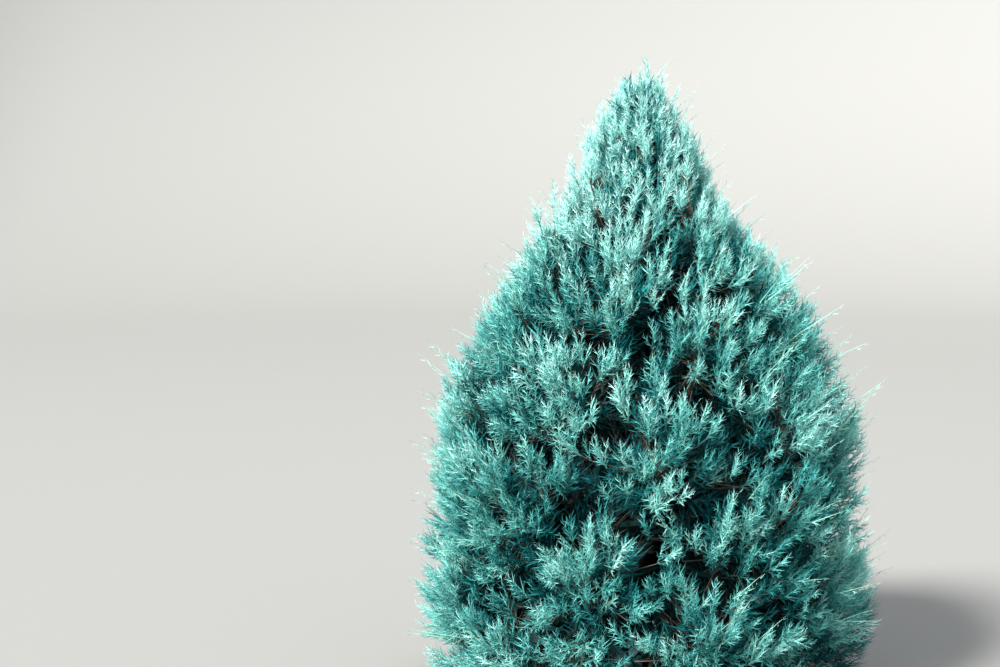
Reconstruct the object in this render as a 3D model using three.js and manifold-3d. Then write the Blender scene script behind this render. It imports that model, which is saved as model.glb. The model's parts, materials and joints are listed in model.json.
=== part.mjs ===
// A blue pyramidal juniper with cord-like scale foliage, 1.8 m tall, rooted in the ground.
// One leaning trunk runs up through the crown. Limbs leave it in a spiral, nearly level at the foot and steep
// at the top, and each ends in a plume of foliage: a stem that swells into a dense core, with toothed sprays
// that are rooted in the stem and stand out of the core as far as the crown's outline.
// Millimetres, +Z up, origin on the flat cut of the trunk at ground level.
import * as THREE from "three";
import { mergeVertices } from "three/addons/utils/BufferGeometryUtils.js";
import Module from "manifold-3d";

// Crown
const HEIGHT = 1800; // ground to the tip of the leading shoot
const CROWN_TIP_RADIUS = 26; // half width of the crown at its very tip
const CROWN_SPREAD = 688; // further half width that the crown reaches far below its tip
const CROWN_EASE = 920; // drop below the tip over which the crown widens
const SKIRT_HEIGHT = 260; // below this the crown tucks in towards the ground
const SKIRT_TUCK = 0.1; // share of the half width lost at the ground
const GROUND_GAP = 6; // the lowest foliage clears the ground by this

// Trunk
const TRUNK_TOP = 1655; // height of the trunk's tip, inside the leading plume
const TRUNK_RADIUS = 33; // just above the root flare
const TRUNK_TIP_RADIUS = 4;
const TRUNK_TAPER = 0.85;
const FLARE_RADIUS = 24; // added at the ground
const FLARE_HEIGHT = 55; // height over which the flare dies away
const FLARE_LOBES = 5; // root buttresses round the foot
const LOBE_DEPTH = 0.25;
const LEAN = -34; // sideways drift of the tip, towards -X
const LEAN_EASE = 1.5; // above 1, the foot stands straighter than the top
const SWAY = 12; // gentle bow of the trunk
const TRUNK_SIDES = 15;
const TRUNK_STEPS = 13;
const TRUNK_STEP_EASE = 1.6; // rings crowd towards the flare

// Limbs
const PLUMES = 36; // side plumes, in a spiral up the trunk
const BOUGHS = 22; // the lowest plumes are carried by a bough, the rest by their own stems
const PLUME_LOW = 105; // height of the lowest limb's end
const PLUME_HIGH = 1600; // height of the highest side limb's end
const PLUME_CROWDING = 0.85; // spaces the plumes over the crown, a little closer towards the top
const GOLDEN_ANGLE = 137.508; // turn from one limb or spray to the next, in degrees
const SPIRAL_START = 230; // heading of the lowest limb, in degrees
const STEEP_TOP = 27; // degrees between the highest limb and the vertical
const STEEP_RANGE = 54; // further lean of the lowest limb
const STEEP_BEND = 1.3;
const LIMB_CURL = 13; // a limb leaves the trunk this much flatter, and ends this much steeper
const FLATTEST = 88;
const LIMB_REACH = 0.84; // share of the crown's half width that a limb reaches
const LIMB_RADIUS = 11.5; // root radius of the lowest limb
const LIMB_SLIM = 6.5; // less at the top of the plant
const LIMB_END = 0.3; // end radius as a share of the root radius
const LIMB_SIDES = 5;
const LIMB_STEPS = 3;
const LOWEST_ROOT = 50; // no limb leaves the trunk below this
const BOUGH_SHARE = 0.42; // share of a limb's length that is bare bough
const LEADER_FROM = 1400; // the leading plume's foliage starts here, round the trunk
const LEADER_END = 1768;
const LEADER_NUDGE = 14; // the leading shoot bends back towards the vertical

// Foliage
const HEART = 0.8; // the middle of a plume, as a place along its limb
const SPINE = [0.55, 0.7, 0.85, 1]; // places along a limb that the distance to a spray's tip is measured from
const CORE_WIDTH = 0.4; // core radius as a share of the distance to the next plume
const CORE_MOST = 0.25; // and at most this share of the crown's half width
const CORE_SHAPE = [[0.6, 0.8], [0.76, 1], [0.9, 0.8], [1, 0.3]]; // place along the limb, share of the radius
const CORE_SIDES = 6;
const NEIGHBOURHOOD = 3; // two cores are parted where their middles are nearer than this many of their radii
const CORE_FROM = 0.46; // the core starts here, as thin as its stem, where the plume has no bough
const LEADER_CORE = 40;
const LEADER_SHAPE = [[0.1, 0.4], [0.35, 0.9], [0.6, 1], [0.82, 0.7], [0.97, 0.25]];
const LEADER_CORE_FROM = 0.02;
const SPRAYS = 214; // side sprays over the whole outline
const SPRAY_CROWDING = 0.82; // spaces them over the crown, a little closer towards the top
const LOWEST_SPRAY = 34;
const TURN_JITTER = 0.12; // random part of a spray's heading, in radians
const FORK_TOP = 28; // degrees between the stem and a side spray at the top of the plant
const FORK_RANGE = 20; // further angle at the ground
const FORK_FROM = 0.5; // the first fork along a side limb
const LEADER_FORK_FROM = 0.1;
const FORK_TO = 0.96;
const FORK_STEP = 0.02;
const LEADING_FROM = 0.86; // place on the limb where its leading shoot is rooted
const LEADING_REACH = 38; // how far that shoot stands out of the crown's outline
const LEADING_STEP = 5;
const BLADE_LENGTH = 145; // toothed part of a spray
const BLADE_MOST = 0.9; // and at most this share of the whole spray
const BLADE_WIDTH = 80;
const TOP_SIZE = 0.5; // share of the full size that sprays have at the top of the plant
const FULL_SIZE_DROP = 900; // they have their full size from this far below it
const STALK_RADIUS = 4;
const WHORLS = [[1, 0.05], [0.52, 0.44], [0.62, 0.08], [0.22, 0.36], [0.32, 0.06]]; // from the tip, width
const TOOTH_TURN = Math.PI / 3; // a section's turn from the last, so that notches lie between teeth
const WHIP_EVERY = 4; // every so many side sprays is a long slim one
const WHIP_REACH = 62; // how far it stands out of the crown's outline
const WHIP_WIDTH = 0.62; // its width beside that of other sprays
const DOME = 0.12; // how far the outline falls back between two plumes, as a share of the half width
const RAGGED = 0.04; // random part of the outline, as a share of the half width
const SEAT_GAP = 0.3; // between a limb and what carries it
const SPRAY_GAP = 1; // least gap between the foliage of two plumes
const WELD = 1e-3; // points closer than this are one
const SEED = 1809;

const BARK = { color: 0x6b5143, roughness: 0.9, metalness: 0 };
const FOLIAGE = { color: 0x6fa7a0, roughness: 0.65, metalness: 0 };

const wasm = await Module();
wasm.setup();
const { Manifold, Mesh } = wasm;

const radians = THREE.MathUtils.degToRad;
const UP = new THREE.Vector3(0, 0, 1);
const heading = (angle) => new THREE.Vector3(Math.cos(angle), Math.sin(angle), 0);

// A small seeded generator: the same numbers on every run
function seeded(seed) {
  let state = seed;
  return () => {
    state = (state * 1664525 + 1013904223) % 4294967296;
    return state / 4294967296;
  };
}

// Half width of the crown's outline at a height
function crownRadius(z) {
  const spread = CROWN_SPREAD * Math.tanh(Math.max(0, HEIGHT - z) / CROWN_EASE);
  const tuck = 1 - SKIRT_TUCK * Math.max(0, 1 - z / SKIRT_HEIGHT) ** 2;
  return (CROWN_TIP_RADIUS + spread) * tuck;
}

// Centre of the trunk at a height: it leans, and bows a little on the way
function trunkCentre(z) {
  const rise = Math.min(1, z / TRUNK_TOP);
  return new THREE.Vector3(LEAN * rise ** LEAN_EASE, SWAY * Math.sin(Math.PI * rise) * rise, z);
}

// A point at a distance from the trunk's centre line
const aside = (z, outward, distance) => trunkCentre(z).addScaledVector(outward, distance);

// A closed three.js geometry as a solid
function solidOf(geometry) {
  geometry.deleteAttribute("normal");
  geometry.deleteAttribute("uv");
  const merged = mergeVertices(geometry, WELD);
  return new Manifold(
    new Mesh({
      numProp: 3,
      vertProperties: merged.attributes.position.array,
      triVerts: new Uint32Array(merged.index.array),
    }),
  );
}

function geometryOf(made) {
  const { vertProperties, triVerts } = made.getMesh();
  const geometry = new THREE.BufferGeometry();
  geometry.setAttribute("position", new THREE.BufferAttribute(vertProperties, 3));
  geometry.setIndex(new THREE.BufferAttribute(triVerts, 1));
  return geometry;
}

// The largest body of a solid, before and after its points are welded: loose scraps and sealed hollows go
function oneBody(made) {
  const largest = (solid) => solid.decompose().sort((a, b) => b.volume() - a.volume())[0];
  return largest(solidOf(geometryOf(largest(made))));
}

// A cylinder, or a cone, whose rings are moved: ringAt(share) gives a ring's centre, two directions across
// it, how far it is turned and its radius at each angle
function sweptSolid(sides, steps, ringAt, pointed = false) {
  const geometry = new THREE.CylinderGeometry(pointed ? 0 : 1, 1, 1, sides, steps);
  const position = geometry.attributes.position;
  for (let i = 0; i < position.count; i++) {
    const ring = ringAt(Math.round((position.getY(i) + 0.5) * steps) / steps);
    const x = position.getX(i);
    const z = position.getZ(i);
    const angle = Math.atan2(x, z) + (ring.turn ?? 0);
    const radius = Math.hypot(x, z) > WELD ? ring.radius(angle) : 0;
    const place = ring.centre
      .clone()
      .addScaledVector(ring.across, radius * Math.sin(angle))
      .addScaledVector(ring.over, radius * Math.cos(angle));
    position.setXYZ(i, place.x, place.y, place.z);
  }
  return solidOf(geometry);
}

// The trunk, from the flat cut at the ground to its tip; extra makes the same shape a little fatter
function trunkSolid(extra) {
  return sweptSolid(TRUNK_SIDES, TRUNK_STEPS, (share) => {
    const rise = share ** TRUNK_STEP_EASE;
    const z = (TRUNK_TOP + extra) * rise;
    const taper = TRUNK_TIP_RADIUS + (TRUNK_RADIUS - TRUNK_TIP_RADIUS) * (1 - rise) ** TRUNK_TAPER;
    const flare = FLARE_RADIUS * Math.exp(-z / FLARE_HEIGHT);
    const lobe = (angle) => 1 - LOBE_DEPTH + LOBE_DEPTH * Math.cos(FLARE_LOBES * angle);
    return {
      centre: trunkCentre(z),
      across: new THREE.Vector3(1, 0, 0),
      over: new THREE.Vector3(0, -1, 0),
      radius: (angle) => taper + flare * lobe(angle) + extra,
    };
  });
}

// Round sections along part of a curve; shape lists the place on the curve and the radius of each section
function tubeSolid(curve, shape, sides) {
  const steps = shape.length - 1;
  return sweptSolid(sides, steps, (share) => {
    const [at, radius] = shape[Math.round(share * steps)];
    const along = curve.getTangent(at);
    const across = new THREE.Vector3().crossVectors(along, UP).normalize();
    const over = new THREE.Vector3().crossVectors(across, along);
    return { centre: curve.getPoint(at), across, over, radius: () => radius };
  });
}

const limbRadius = (plume, at) => plume.radius * (1 - (1 - LIMB_END) * at);

// A stretch of a plume's limb; extra makes it a little fatter
function limbSolid(plume, from, to, extra = 0) {
  const shape = [];
  for (let step = 0; step <= LIMB_STEPS; step++) {
    const at = from + ((to - from) * step) / LIMB_STEPS;
    shape.push([at, limbRadius(plume, at) + extra]);
  }
  return tubeSolid(plume.curve, shape, LIMB_SIDES);
}

// A side limb: it leaves the trunk low and curls up to its end, just inside the crown's outline
function sideLimb(i) {
  const t = (i + 0.5) / PLUMES;
  const z = PLUME_LOW + (PLUME_HIGH - PLUME_LOW) * (1 - (1 - t) ** PLUME_CROWDING);
  const outward = heading(radians(SPIRAL_START + i * GOLDEN_ANGLE));
  const lean = STEEP_TOP + STEEP_RANGE * (1 - z / HEIGHT) ** STEEP_BEND;
  const reach = LIMB_REACH * crownRadius(z);
  const bendZ = z - reach / 2 / Math.tan(radians(lean - LIMB_CURL));
  const rootZ = bendZ - reach / 2 / Math.tan(radians(Math.min(lean + LIMB_CURL, FLATTEST)));
  const root = trunkCentre(Math.max(LOWEST_ROOT, rootZ));
  const bend = root.clone().addScaledVector(outward, reach / 2).setZ(Math.max(bendZ, root.z));
  const end = aside(z, outward, reach);
  return {
    name: String(i + 1).padStart(2, "0"),
    curve: new THREE.QuadraticBezierCurve3(root, bend, end),
    radius: LIMB_RADIUS - LIMB_SLIM * (z / HEIGHT),
    coreFrom: CORE_FROM,
    forkFrom: FORK_FROM,
    coreShape: CORE_SHAPE,
    boughEnd: i < BOUGHS ? BOUGH_SHARE : 0,
  };
}

// The leading plume: its stem carries on from the trunk's tip, and its foliage starts below, round the trunk
function leadingLimb() {
  const end = trunkCentre(LEADER_END);
  end.x += LEADER_NUDGE;
  return {
    name: "leader",
    curve: new THREE.QuadraticBezierCurve3(trunkCentre(LEADER_FROM), trunkCentre(TRUNK_TOP), end),
    radius: TRUNK_TIP_RADIUS,
    coreFrom: LEADER_CORE_FROM,
    forkFrom: LEADER_FORK_FROM,
    coreShape: LEADER_SHAPE,
    boughEnd: 0,
  };
}

function plumeLayout() {
  const plumes = Array.from({ length: PLUMES }, (_, i) => sideLimb(i));
  const leader = leadingLimb();
  plumes.push(leader);
  for (const plume of plumes) {
    plume.heart = plume.curve.getPoint(HEART);
    plume.spine = SPINE.map((at) => plume.curve.getPoint(at));
  }
  for (const plume of plumes) {
    plume.others = plumes.filter((other) => other !== plume);
    plume.spacing = Math.min(...plume.others.map((other) => other.heart.distanceTo(plume.heart)));
    const most = CORE_MOST * crownRadius(plume.curve.v2.z);
    plume.coreRadius = plume === leader ? LEADER_CORE : Math.min(CORE_WIDTH * plume.spacing, most);
  }
  return plumes;
}

// A plume's dense core, which swells from the bough's tip, or round the plume's own stem where it has no
// bough. It keeps to its own side of every neighbour, off the ground and clear of the other plumes' limbs
function bodySolid(plume) {
  const from = plume.boughEnd > 0 ? plume.boughEnd + SEAT_GAP / plume.curve.getLength() : plume.coreFrom;
  const shape = plume.coreShape.map(([at, width]) => [at, width * plume.coreRadius]);
  let core = tubeSolid(plume.curve, [[from, limbRadius(plume, from)], ...shape], CORE_SIDES);
  for (const other of plume.others) {
    const inward = plume.heart.clone().sub(other.heart);
    if (inward.length() > NEIGHBOURHOOD * (plume.coreRadius + other.coreRadius)) continue;
    const middle = plume.heart.clone().lerp(other.heart, 0.5);
    inward.normalize();
    core = core.trimByPlane(inward.toArray(), inward.dot(middle) + SPRAY_GAP / 2);
  }
  const limbs = plume.others.map((other) => limbSolid(other, 0, 1, SPRAY_GAP));
  core = core.trimByPlane(UP.toArray(), GROUND_GAP).subtract(Manifold.union(limbs));
  return plume.boughEnd > 0 ? core : core.add(limbSolid(plume, 0, HEART));
}

// A spray: a slim three-sided spike, pulled out into whorls of teeth that point forward
function spraySolid(root, tip, bladeLength, width, roll) {
  const along = tip.clone().sub(root);
  const length = along.length();
  along.normalize();
  const across = new THREE.Vector3().crossVectors(along, UP).normalize();
  const over = new THREE.Vector3().crossVectors(across, along);
  const blade = Math.min(bladeLength, BLADE_MOST * length);
  const whorls = WHORLS.map(([back, wide]) => [blade * back, wide * width]);
  const rings = [[length, STALK_RADIUS], ...whorls, [0, 0]];
  const steps = rings.length - 1;
  const ringAt = (share) => {
    const ring = Math.round(share * steps);
    const [back, wide] = rings[ring];
    return {
      centre: tip.clone().addScaledVector(along, -back),
      across,
      over,
      turn: roll - ring * TOOTH_TURN,
      radius: () => Math.max(STALK_RADIUS, wide),
    };
  };
  return sweptSolid(3, steps, ringAt, true);
}

// The leading shoot of each plume carries its stem on, out of the crown's outline
function leadingShoots(plumes) {
  return plumes.map((plume) => {
    const along = plume.curve.getTangent(1);
    const tip = plume.curve.getPoint(1);
    const isInside = () => tip.distanceTo(trunkCentre(tip.z)) < crownRadius(tip.z) + LEADING_REACH;
    while (tip.z < HEIGHT && isInside()) tip.addScaledVector(along, LEADING_STEP);
    tip.z = plume.name === "leader" ? HEIGHT : Math.min(tip.z, HEIGHT);
    return { root: plume.curve.getPoint(LEADING_FROM), tip, plume, whip: true };
  });
}

// The side sprays: their tips lie in a spiral over the crown's outline, each on the plume with the nearest
// spine
function sideSprays(plumes, random) {
  const sprays = [];
  for (let k = 0; k < SPRAYS; k++) {
    const t = (k + 0.5) / SPRAYS;
    const z = LOWEST_SPRAY + (LEADER_END - LOWEST_SPRAY) * (1 - (1 - t) ** SPRAY_CROWDING);
    const outward = heading(radians(k * GOLDEN_ANGLE) + TURN_JITTER * (random() - 0.5));
    const onOutline = aside(z, outward, crownRadius(z));
    const miss = (plume) => Math.min(...plume.spine.map((place) => place.distanceTo(onOutline)));
    const plume = plumes.reduce((best, other) => (miss(other) < miss(best) ? other : best));
    const off = Math.min(1, plume.curve.v2.distanceTo(onOutline) / plume.spacing);
    const share = 1 - DOME * off ** 2 + RAGGED * (random() - 0.5);
    const tip = aside(z, outward, crownRadius(z) * share);
    const root = forkPoint(plume, tip);
    const whip = k % WHIP_EVERY === 0;
    if (whip) tip.addScaledVector(tip.clone().sub(root).normalize(), WHIP_REACH);
    sprays.push({ root, tip, plume, whip });
  }
  return sprays;
}

// The place on a plume's stem where a side spray to this tip forks off
function forkPoint(plume, tip) {
  const fork = radians(FORK_TOP + FORK_RANGE * (1 - tip.z / HEIGHT));
  let best = { miss: Infinity };
  for (let at = plume.forkFrom; at < FORK_TO; at += FORK_STEP) {
    const from = plume.curve.getPoint(at);
    const miss = Math.abs(plume.curve.getTangent(at).angleTo(tip.clone().sub(from)) - fork);
    if (miss < best.miss) best = { from, miss };
  }
  return best.from;
}

// A solid with its box, so that most pairs need no closer look
const boxed = (made) => ({ made, box: made.boundingBox() });

function isClear(piece, others) {
  const { min, max } = piece.box;
  const isNear = ({ box }) =>
    [0, 1, 2].every((axis) => min[axis] - SPRAY_GAP < box.max[axis] && box.min[axis] - SPRAY_GAP < max[axis]);
  return !others.some((other) => isNear(other) && piece.made.minGap(other.made, SPRAY_GAP) < SPRAY_GAP);
}

// The sprays of all plumes; one that would leave its plume's space or touch a limb is left out
function addSprays(plumes, trunk, boughs, random) {
  for (const { root, tip, plume, whip } of [...leadingShoots(plumes), ...sideSprays(plumes, random)]) {
    const size = TOP_SIZE + (1 - TOP_SIZE) * Math.min(1, (HEIGHT - root.z) / FULL_SIZE_DROP);
    const length = BLADE_LENGTH * size + (whip ? WHIP_REACH : 0);
    const width = BLADE_WIDTH * size * (whip ? WHIP_WIDTH : 1);
    const piece = boxed(spraySolid(root, tip, length, width, Math.PI * random()));
    const others = plume.others.flatMap((other) => other.pieces);
    const limbs = plume.name === "leader" ? boughs : [trunk, ...boughs];
    if (piece.box.min[2] < GROUND_GAP || !isClear(piece, [...limbs, ...others])) continue;
    plume.pieces.push(piece);
  }
}

// A solid as a named mesh that stands at its own root
function node(name, made, root, look) {
  const geometry = geometryOf(made);
  geometry.translate(-root.x, -root.y, -root.z);
  geometry.computeVertexNormals();
  const mesh = new THREE.Mesh(geometry, new THREE.MeshStandardMaterial(look));
  mesh.name = name;
  mesh.position.copy(root);
  return mesh;
}

// The tree: its trunk, and one group for each limb, which stands where the limb leaves the trunk
function buildTree() {
  const tree = new THREE.Group();
  const fatTrunk = trunkSolid(SEAT_GAP);
  tree.add(node("trunk", trunkSolid(0), trunkCentre(0), BARK));

  const plumes = plumeLayout();
  for (const plume of plumes) {
    plume.limb = new THREE.Group();
    plume.limb.position.copy(plume.curve.v0);
    tree.add(plume.limb);
    plume.pieces = [boxed(bodySolid(plume))];
  }

  const boughs = plumes.filter((plume) => plume.boughEnd > 0);
  for (const plume of boughs) {
    plume.bough = oneBody(limbSolid(plume, 0, plume.boughEnd).subtract(fatTrunk));
    plume.limb.attach(node(`bough_${plume.name}`, plume.bough, plume.curve.v0, BARK));
  }

  addSprays(plumes, boxed(fatTrunk), boughs.map((plume) => boxed(plume.bough)), seeded(SEED));
  for (const plume of plumes) {
    const made = oneBody(Manifold.union(plume.pieces.map((piece) => piece.made)).subtract(fatTrunk));
    plume.limb.attach(node(`foliage_${plume.name}`, made, plume.curve.getPoint(plume.boughEnd), FOLIAGE));
  }
  return tree;
}

export default buildTree();
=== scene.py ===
import json
import math

import bpy
import numpy as np
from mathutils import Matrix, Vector, noise

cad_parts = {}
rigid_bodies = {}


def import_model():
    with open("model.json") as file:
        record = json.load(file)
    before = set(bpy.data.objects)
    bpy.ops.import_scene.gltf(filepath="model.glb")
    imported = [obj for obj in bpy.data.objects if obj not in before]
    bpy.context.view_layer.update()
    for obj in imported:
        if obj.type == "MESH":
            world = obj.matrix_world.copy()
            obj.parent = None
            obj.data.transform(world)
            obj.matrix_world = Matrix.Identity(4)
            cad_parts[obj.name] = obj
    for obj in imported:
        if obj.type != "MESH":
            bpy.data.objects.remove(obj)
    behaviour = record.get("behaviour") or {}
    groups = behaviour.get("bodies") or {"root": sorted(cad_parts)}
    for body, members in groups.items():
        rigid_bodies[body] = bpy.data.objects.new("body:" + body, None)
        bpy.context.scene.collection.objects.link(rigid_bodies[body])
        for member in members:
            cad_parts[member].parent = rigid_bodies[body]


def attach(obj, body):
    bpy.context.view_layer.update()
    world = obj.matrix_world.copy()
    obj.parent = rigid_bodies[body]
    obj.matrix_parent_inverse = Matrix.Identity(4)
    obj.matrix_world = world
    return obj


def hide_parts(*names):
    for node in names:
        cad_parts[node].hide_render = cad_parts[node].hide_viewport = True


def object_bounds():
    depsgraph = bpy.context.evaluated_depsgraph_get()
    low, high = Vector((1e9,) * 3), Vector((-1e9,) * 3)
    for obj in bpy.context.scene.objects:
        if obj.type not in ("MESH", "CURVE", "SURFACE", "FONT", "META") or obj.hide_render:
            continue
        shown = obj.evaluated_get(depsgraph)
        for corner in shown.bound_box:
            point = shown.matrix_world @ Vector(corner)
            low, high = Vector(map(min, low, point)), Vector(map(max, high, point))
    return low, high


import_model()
cad_low, cad_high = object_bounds()


# The view is that of a person who stands about 5.6 m in front of the plant, a little to its left, and holds
# the camera at eye height, so that it looks slightly down on the crown.
EYE = (-0.418, -5.6, 1.7)
LOOKS_DOWN = math.radians(6.85)
LENS_MM = 70
SENSOR_MM = 36

camera = bpy.data.objects.new("camera", bpy.data.cameras.new("camera"))
camera.data.lens = LENS_MM
camera.data.sensor_width = SENSOR_MM
camera.location = EYE
camera.rotation_euler = (math.pi / 2 - LOOKS_DOWN, 0, 0)
bpy.context.collection.objects.link(camera)
scene = bpy.context.scene
scene.camera = camera


# The studio is a pale matt floor that curves up into a round wall, so that no edge shows from any side.
# Its colour holds painted light: the wall is painted paler than the floor, which faces the light more, and
# both are painted paler still where the wall keeps the main light off them. Soft light falls from the upper
# left, weaker lights lift the shaded sides, and the open top lets in pale light.
FLOOR_RADIUS = 14
FLOOR_TURNS = 96
FLOOR_ROUGHNESS = 0.9
WALL_CURVE = 4
CURVE_STEPS = 12
WALL_TOP = 9
FLOOR_COLOUR = (0.225, 0.225, 0.222, 1)
WALL_COLOUR = (0.34, 0.34, 0.337, 1)
PAINTED_LIGHT_COLOUR = (0.75, 0.75, 0.745, 1)
PAINTED_LIGHT_FROM = 5.0
PAINTED_LIGHT_TO = 10.0
SKY_COLOUR = (0.85, 0.92, 1.0, 1)
SKY_STRENGTH = 0.73
LIGHTS = {
    "key": {"place": (-4.2, -3.4, 5.6), "softness": 14, "power": 9.0, "colour": (1.0, 0.98, 0.92)},
    "fill": {"place": (4.0, -4.4, 2.6), "softness": 50, "power": 0.5, "colour": (0.92, 0.97, 1.0)},
    "rim": {"place": (2.0, 5.0, 4.0), "softness": 40, "power": 1.8, "colour": (1.0, 0.98, 0.95)},
}


def mesh_object(name, points, faces):
    mesh = bpy.data.meshes.new(name)
    mesh.from_pydata([tuple(p) for p in points], [], faces)
    mesh.polygons.foreach_set("use_smooth", [True] * len(mesh.polygons))
    made = bpy.data.objects.new(name, mesh)
    bpy.context.collection.objects.link(made)
    return made


def material_with_nodes(name, roughness):
    made = bpy.data.materials.new(name)
    made.use_nodes = True
    shader = made.node_tree.nodes["Principled BSDF"]
    shader.inputs["Roughness"].default_value = roughness
    return made, made.node_tree, shader


def add(tree, kind, inputs=None, **settings):
    """A node with its settings; inputs gives each socket's value, or the socket to link to it"""
    made = tree.nodes.new(kind)
    for key, value in settings.items():
        setattr(made, key, value)
    for key, value in (inputs or {}).items():
        if isinstance(key, int):
            socket = made.inputs[key]
        else:
            socket = next(s for s in made.inputs if s.name == key and s.enabled)
        if isinstance(value, bpy.types.NodeSocket):
            tree.links.new(value, socket)
        else:
            socket.default_value = value
    return made


def output(made, name=None):
    return next(s for s in made.outputs if s.enabled and (name is None or s.name == name))


def mixed(tree, factor, first, second):
    """A colour between two others"""
    return output(add(tree, "ShaderNodeMix", {"Factor": factor, "A": first, "B": second}, data_type="RGBA"))


def matt_finish():
    """Painted light: paler on the wall than on the floor, and paler still on the side where the key light
    comes from, which the wall itself keeps in shade
    """
    matt, tree, shader = material_with_nodes("matt floor", FLOOR_ROUGHNESS)
    place = output(add(tree, "ShaderNodeTexCoord"), "Object")
    height = output(add(tree, "ShaderNodeSeparateXYZ", {"Vector": place}), "Z")
    rise = output(add(tree, "ShaderNodeMapRange", {"Value": height, "From Max": WALL_CURVE}))
    to_key = Vector((*LIGHTS["key"]["place"][:2], 0)).normalized()
    reach = output(add(tree, "ShaderNodeVectorMath", {0: place, 1: to_key}, operation="DOT_PRODUCT"))
    # painted light: floor and wall turn paler on the key's side, where the wall keeps the key light off them
    shaded = {"Value": reach, "From Min": PAINTED_LIGHT_FROM, "From Max": PAINTED_LIGHT_TO}
    shade = output(add(tree, "ShaderNodeMapRange", shaded))
    colour = mixed(tree, shade, mixed(tree, rise, FLOOR_COLOUR, WALL_COLOUR), PAINTED_LIGHT_COLOUR)
    tree.links.new(colour, shader.inputs["Base Color"])
    return matt


def studio_floor():
    flat = FLOOR_RADIUS - WALL_CURVE
    profile = [(flat, 0.0)]
    for step in range(1, CURVE_STEPS + 1):
        angle = math.pi / 2 * step / CURVE_STEPS
        profile.append((flat + WALL_CURVE * math.sin(angle), WALL_CURVE * (1 - math.cos(angle))))
    profile.append((FLOOR_RADIUS, WALL_TOP))
    points = [(0, 0, 0)]
    for reach, height in profile:
        for turn in range(FLOOR_TURNS):
            angle = 2 * math.pi * turn / FLOOR_TURNS
            points.append((reach * math.cos(angle), reach * math.sin(angle), height))
    faces = [(0, 1 + turn, 1 + (turn + 1) % FLOOR_TURNS) for turn in range(FLOOR_TURNS)]
    for ring in range(len(profile) - 1):
        low, high = 1 + ring * FLOOR_TURNS, 1 + (ring + 1) * FLOOR_TURNS
        for turn in range(FLOOR_TURNS):
            after = (turn + 1) % FLOOR_TURNS
            faces.append((low + turn, high + turn, high + after, low + after))
    return mesh_object("studio_floor", points, faces)


def studio_light(name, place, softness, power, colour):
    light = bpy.data.lights.new(name, "SUN")
    light.angle = math.radians(softness)
    light.energy = power
    light.color = colour
    made = bpy.data.objects.new(name, light)
    made.location = place
    made.rotation_euler = (-Vector(place)).to_track_quat("-Z", "Y").to_euler()
    bpy.context.collection.objects.link(made)


floor = studio_floor()
floor.data.materials.append(matt_finish())
for name, light in LIGHTS.items():
    studio_light(name, **light)
sky = bpy.data.worlds.new("pale sky")
sky.use_nodes = True
sky.node_tree.nodes["Background"].inputs["Color"].default_value = SKY_COLOUR
sky.node_tree.nodes["Background"].inputs["Strength"].default_value = SKY_STRENGTH
scene.world = sky
scene.view_settings.view_transform = "Standard"


# The trunk is one juniper stem under thin red-brown bark, which peels in narrow upright strips. It leans and
# bows a little, and spreads into five buttresses where it is cut flat at the ground.
HEIGHT = 1.8
TRUNK_TOP = 1.655
TRUNK_RADIUS = 0.033
TRUNK_TIP_RADIUS = 0.004
TRUNK_TAPER = 0.85
FLARE_RADIUS = 0.024
FLARE_HEIGHT = 0.055
FLARE_LOBES = 5
LOBE_DEPTH = 0.25
LEAN = -0.034
LEAN_EASE = 1.5
SWAY = 0.012
TRUNK_SIDES = 70
TRUNK_STEPS = 160
TRUNK_STEP_EASE = 1.6
SIDEWAYS = (0.0, 1.0, 0.02)

# How the bark's strips stand out, wander round the stem and get finer
BARK_DEPTH = 0.0032
BARK_MIDDLE = 0.7
BARK_FADE = 1.4
TRUNK_STRIPS = 5
STRIP_RISE = 14
STRIP_HEIGHT = 2.2
COARSE_SHARE = 0.75
FINER_STRIPS = 3
FINER_RISE = 40
STRIP_WANDER = 0.35
WANDER_TURNS = 2
WANDER_RISE = 9

# How the bark is coloured
BARK_DARK = (0.035, 0.02, 0.015, 1)
BARK_RED = (0.1, 0.054, 0.037, 1)
BARK_GREY = (0.12, 0.092, 0.078, 1)
BARK_ROUGHNESS = 0.88
BARK_GRAIN = (260, 260, 22)
BARK_DETAIL = 6
BARK_PATCHES = 18
CRACKS_TO = 0.32
STRIPS_FROM = 0.6
BARK_BUMP = 0.7
BARK_BUMP_DEPTH = 0.002


def trunk_centre(z):
    rise = min(1, max(0, z / TRUNK_TOP))
    return np.array([LEAN * rise**LEAN_EASE, SWAY * math.sin(math.pi * rise) * rise, z])


def noise_on_stem(angle, along, turns, rise):
    """Noise on a stem's surface; turns and rise say how fine it is round the stem and along it"""
    return noise.noise(Vector((math.cos(angle) * turns, math.sin(angle) * turns, along * rise)))


def bark_relief(angle, along, strips):
    """How far the bark stands out, from 0 in a crack to 1 on a strip"""
    turn = angle + STRIP_WANDER * noise_on_stem(angle, along, WANDER_TURNS, WANDER_RISE)
    coarse = noise_on_stem(turn, along, strips, STRIP_RISE)
    fine = noise_on_stem(turn, along, strips * FINER_STRIPS, FINER_RISE)
    return COARSE_SHARE * min(1, STRIP_HEIGHT * abs(coarse)) + (1 - COARSE_SHARE) * abs(fine)


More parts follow.
